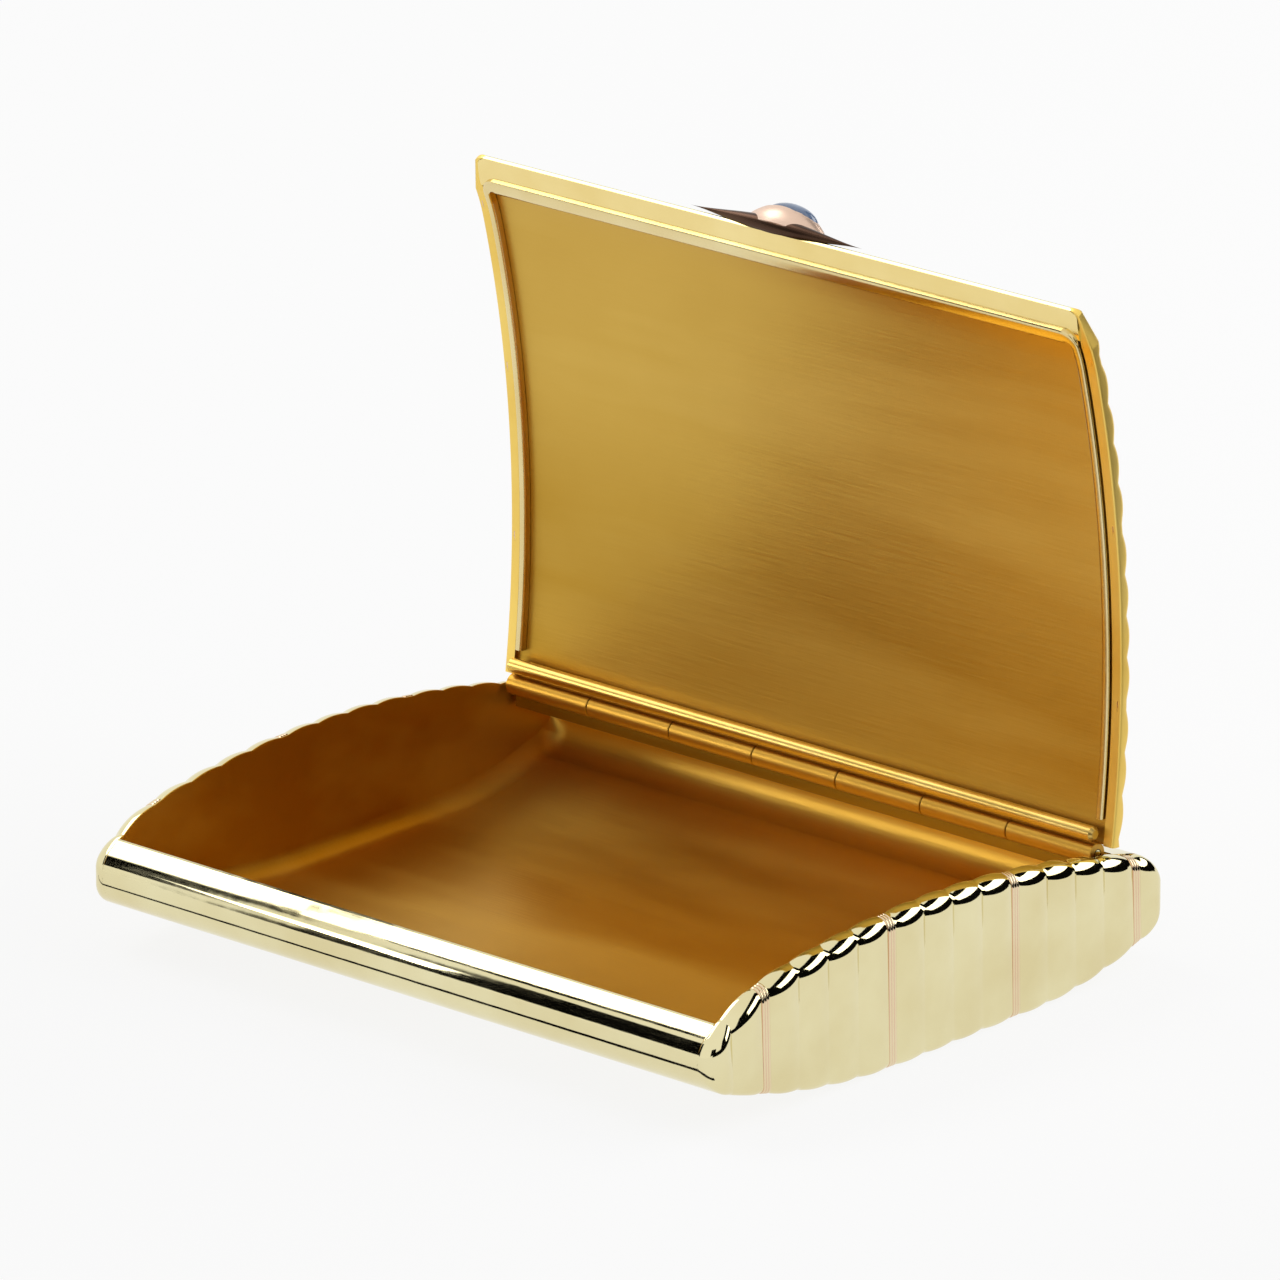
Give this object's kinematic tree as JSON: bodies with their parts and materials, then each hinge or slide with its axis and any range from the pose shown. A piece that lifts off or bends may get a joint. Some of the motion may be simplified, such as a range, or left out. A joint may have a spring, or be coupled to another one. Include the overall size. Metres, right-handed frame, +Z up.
{
  "type": "cigarette case",
  "caption": "Oval-section pocket case for cigarettes: reeded metal tray and arched lid on a full-length knuckle hinge, with inlaid bands and a jewelled thumb-piece; the lid opens and shuts.",
  "frame": {"origin": "on the surface that the case stands on, under the middle of the tray", "axes": "+X along the hinge, +Y from the front rail to the rear shoulder, +Z up; the lid stands open at rest"},
  "size_m": [0.095, 0.0788, 0.083],
  "materials": {
    "yellow_gold": "mirror-polished pale yellow gold",
    "gilt_inside": "satin deep gold gilding",
    "rose_gold": "polished rose gold",
    "stone": "polished cabochon stone"
  },
  "bodies": {
    "base": {"base_shell": "yellow_gold", "base_band_1": "rose_gold", "base_band_2": "rose_gold", "base_band_3": "rose_gold", "base_band_4": "rose_gold", "base_hinge_leaf": "gilt_inside", "base_knuckle_1": "gilt_inside", "base_knuckle_2": "gilt_inside", "base_knuckle_3": "gilt_inside", "base_knuckle_4": "gilt_inside", "hinge_pin": "yellow_gold", "pin_plug_left": "yellow_gold", "pin_plug_right": "yellow_gold"},
    "lid": {"lid_shell": "yellow_gold", "lid_band_1": "rose_gold", "lid_band_2": "rose_gold", "lid_band_3": "rose_gold", "lid_lip": "yellow_gold", "lid_hinge_leaf": "yellow_gold", "lid_knuckle_1": "gilt_inside", "lid_knuckle_2": "gilt_inside", "lid_knuckle_3": "gilt_inside", "thumbpiece_mount": "rose_gold", "thumbpiece_stone": "stone"}
  },
  "joints": [
    {"name": "lid_hinge", "type": "hinge", "parent": "base", "child": "lid", "pos_m": [0, 0.03, 0.01452], "axis": [-1, 0, 0], "range_deg": [-85, 15]}
  ]
}
